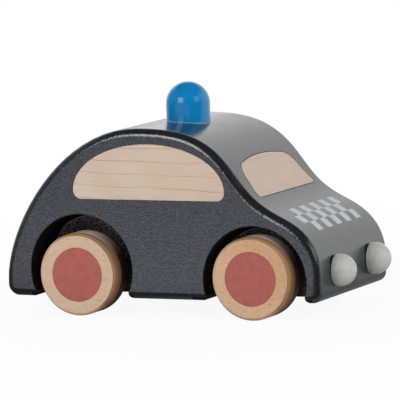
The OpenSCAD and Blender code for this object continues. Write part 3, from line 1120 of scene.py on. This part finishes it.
# %% Steel axles and beech dowels
steel, steel_shader = new_finish("drawn_steel", Metallic=1)
lines = grain((900, 12, 900), 3)
dress(
    steel_shader, Base_Color=mixed(lines, colour(160, 162, 166), colour(198, 200, 203)),
    Roughness=between(lines, 0.3, 0.7, 0.22, 0.38))
KEPT_NODES = {
    "front_axle": steel, "rear_axle": steel, "roof_lamp_dowel": beech,
    "right_headlight_dowel": beech, "left_headlight_dowel": beech,
}
for name, finish in KEPT_NODES.items():
    kept_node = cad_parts[name]
    kept_node.data.materials.clear()
    coat_with(kept_node, finish)
print("construction nodes finished:", len(KEPT_NODES))

# %% [markdown]
# ## What moves with what
#
# Everything glued to the body rides on it. Each wheel rides on its wheelset with its red middle, so the
# pair turns as one. Each piece also hides the parts of the construction that it stands for.

# %% Ride, and hide the parts that are replaced
settled = []


def settle(piece, body, slot, *nodes):
    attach(piece, body)
    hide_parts(*nodes)
    settled.append(piece.name)


settle(painted_body, "car_body", "charcoal_lacquer", "body_core", "right_side_board", "left_side_board")
settle(windscreen, "car_body", "bare_wood", "windscreen")
settle(rear_window, "car_body", "bare_wood", "rear_window")
settle(roof_lamp, "car_body", "blue_gloss_paint", "roof_lamp")
settle(right_headlight, "car_body", "grey_satin_paint", "right_headlight")
settle(left_headlight, "car_body", "grey_satin_paint", "left_headlight")
for side, inlay in side_windows.items():
    settle(inlay, "car_body", "bare_wood", side + "_side_window")
for (end, side), wheel in wheels.items():
    settle(wheel, end + "_wheelset", "beech", f"{end}_{side}_wheel")
    settle(discs[end, side], end + "_wheelset", "red_paint", f"{end}_{side}_hub_disc")
print("pieces settled:", len(settled))

# %% [markdown]
# ## The studio
#
# A gloss finish is only as good as what it reflects. The car stands on a white sweep in a dim studio:
# the white backdrop behind it shows in the roof and the bonnet, a pool of cool light on the floor before
# it shows in its side, and the dim room beside and above gives the rounded edges their dark line. A dim
# wall behind the tail keeps the tail from going black. The strip of floor along the car's side lies in
# its shade, which darkens the lower edge. Both the floor and the surround are white to the camera. The
# floor is self-lit there, more so away from the car, so that it stays white and still takes the shadow.

# %% What the gloss sees of the studio
BACKDROP = Vector((0, 1, 0))
LIGHT_POOL = Vector((-0.2, -0.98, 0))
DIM_ROOM = 0.07
WHITE, COOL_WHITE, FLOOR_GREY = (1, 1, 1, 1), (0.93, 1, 1.14, 1), (0.78, 0.78, 0.78, 1)


def towards(direction, goal, low, high):
    """From dim room to full light as a direction turns towards a goal."""
    near = add("VectorMath", {0: direction, 1: goal}, operation="DOT_PRODUCT").outputs["Value"]
    return between(near, low, high, DIM_ROOM, 1)


def backdrop_seen(direction):
    """Brightness of the backdrop in a direction; it ends some way up and falls off to both sides."""
    along, _, up = axes_of(direction)
    sweep = smaller(towards(direction, BACKDROP, 0.05, 0.45), between(up, 0.5, 0.72, 1, DIM_ROOM))
    left_end = between(along, -0.43, -0.3, 0.84, 1.04)
    right_end = between(along, -0.3, 0.4, 1.04, 0.86)
    return times(sweep, smaller(left_end, right_end))


def to_the_eye():
    """1 for rays from the camera or through glass, and 1 for mirrored rays."""
    path = add("LightPath", {}).outputs
    return larger(path["Is Camera Ray"], path["Is Transmission Ray"]), path["Is Glossy Ray"]


def direction_of(vector):
    return add("VectorMath", {0: vector}, operation="NORMALIZE").outputs["Vector"]


print("studio tools ready")

# %% A white floor with a pool of light
NEAR_NOSE = (0.05, -0.06, 0)  # the backdrop's foot is seen from here
clear_selection()
bpy.ops.mesh.primitive_plane_add(size=12)
floor = bpy.context.object
floor.name = "studio_floor"
floor_paint = bpy.data.materials.new("floor_white")
open_nodes(floor_paint).clear()
looked_at, mirrored = to_the_eye()
spot = spots_of()
far = length_of(spot)
in_pool = towards(direction_of(spot), LIGHT_POOL, 0.72, 0.9)
shade = between(times(axes_of(spot)["Y"], -1.0), 0.07, 0.12, 0.04, 0.66)
pool = times(in_pool, times(shade, between(far, 0.16, 0.7, 1, 0.72)))
from_nose = add("VectorMath", {0: spot, 1: NEAR_NOSE}, operation="SUBTRACT").outputs["Vector"]
behind = times(backdrop_seen(direction_of(from_nose)), between(far, 0.1, 0.44, 0.28, 0.92))
matt = add("BsdfDiffuse", {"Color": FLOOR_GREY}).outputs["BSDF"]
glow = add("Emission", {
    "Color": mixed(times(in_pool, mirrored), WHITE, COOL_WHITE),
    "Strength": larger(looked_at, larger(pool, behind))}).outputs["Emission"]
glow_share = times(larger(looked_at, mirrored), between(far, 0.1, 0.5, 0.93, 1))
blend = add("MixShader", {"Fac": glow_share, 1: matt, 2: glow}).outputs["Shader"]
add("OutputMaterial", {"Surface": blend})
coat_with(floor, floor_paint)
print("floor nodes:", len(floor_paint.node_tree.nodes))

# %% The surround
AMBIENT, TAIL_WALL = 0.3, 0.22
world = bpy.data.worlds.new("studio")
bpy.context.scene.world = world
surround = open_nodes(world)["Background"]
looked_at, mirrored = to_the_eye()
way = add("TexCoord", {}).outputs["Generated"]
wall = between(times(axes_of(way)["X"], -1.0), 0.5, 0.85, 0, TAIL_WALL)
in_gloss = between(mirrored, 0, 1, AMBIENT, larger(wall, backdrop_seen(way)))
dress(surround, Strength=larger(looked_at, in_gloss), Color=WHITE)
print("surround nodes:", len(world.node_tree.nodes))

# %% [markdown]
# Three soft boxes light the car: a key on the camera's left, a fill before the nose and a back light.
# Only the box itself shows in the gloss, and the larger bounce round it does not, so the highlights stay
# small while the light stays soft.

# %% Soft boxes
BOX_SIZE, BOUNCE_SIZE, BOX_DISTANCE = (0.65, 0.6), (1.0, 0.9), 1.3
SOFT_BOXES = {  # direction, watts of the box and watts of its bounce
    "key": ((-0.294, -0.886, 0.361), 3.6, 7.1),
    "fill": ((0.881, -0.226, 0.409), 1.2, 9.8),
    "back": ((-0.55, 0.75, 0.36), 0.6, 9),
}
car_middle = Vector((0, 0, 0.05))


def soft_box(name, direction, size, watts):
    lamp = bpy.data.lights.new(name, "AREA")
    lamp.shape = "RECTANGLE"
    lamp.size, lamp.size_y = size
    lamp.energy = watts
    box = bpy.data.objects.new(name, lamp)
    bpy.context.collection.objects.link(box)
    box.location = car_middle + Vector(direction).normalized() * BOX_DISTANCE
    box.rotation_euler = Vector(direction).to_track_quat("Z", "Y").to_euler()
    box.visible_camera = False
    return box


for name, (direction, box_watts, bounce_watts) in SOFT_BOXES.items():
    soft_box(name + "_soft_box", direction, BOX_SIZE, box_watts)
    soft_box(name + "_bounce", direction, BOUNCE_SIZE, bounce_watts).visible_glossy = False
print("soft boxes:", len(SOFT_BOXES))

# %% [markdown]
# ## The camera
#
# The picture is taken from the right front at wheel height, with a long lens from over two metres
# away, and the camera is held a touch askew. The direction, the roll and the lens are set from measured
# angles, for a square picture.

# %% Set up the camera
azimuth, elevation, roll = (math.radians(angle) for angle in (23.898, 6.417, -1.722))
TARGET, DISTANCE = Vector((0.65, -7.61, 53.89)) * MM, 2300 * MM
FOCAL_PIXELS, PICTURE_PIXELS, SENSOR = 4596.6, 400, 36
back = Vector((math.sin(azimuth) * math.cos(elevation), -math.cos(azimuth) * math.cos(elevation),
               math.sin(elevation)))
level = Vector((math.cos(azimuth), math.sin(azimuth), 0))
upright = back.cross(level)
right = level * math.cos(roll) + upright * math.sin(roll)
top = upright * math.cos(roll) - level * math.sin(roll)
camera_data = bpy.data.cameras.new("camera")
camera_data.sensor_width = SENSOR
camera_data.lens = FOCAL_PIXELS / PICTURE_PIXELS * SENSOR
camera_data.clip_end = 50
camera = bpy.data.objects.new("camera", camera_data)
bpy.context.collection.objects.link(camera)
facing = Matrix((right, top, back)).transposed().to_4x4()
camera.matrix_world = Matrix.Translation(TARGET + back * DISTANCE) @ facing
bpy.context.scene.camera = camera
bpy.context.scene.view_settings.view_transform = "Standard"
print("lens:", round(camera_data.lens, 1), "mm")
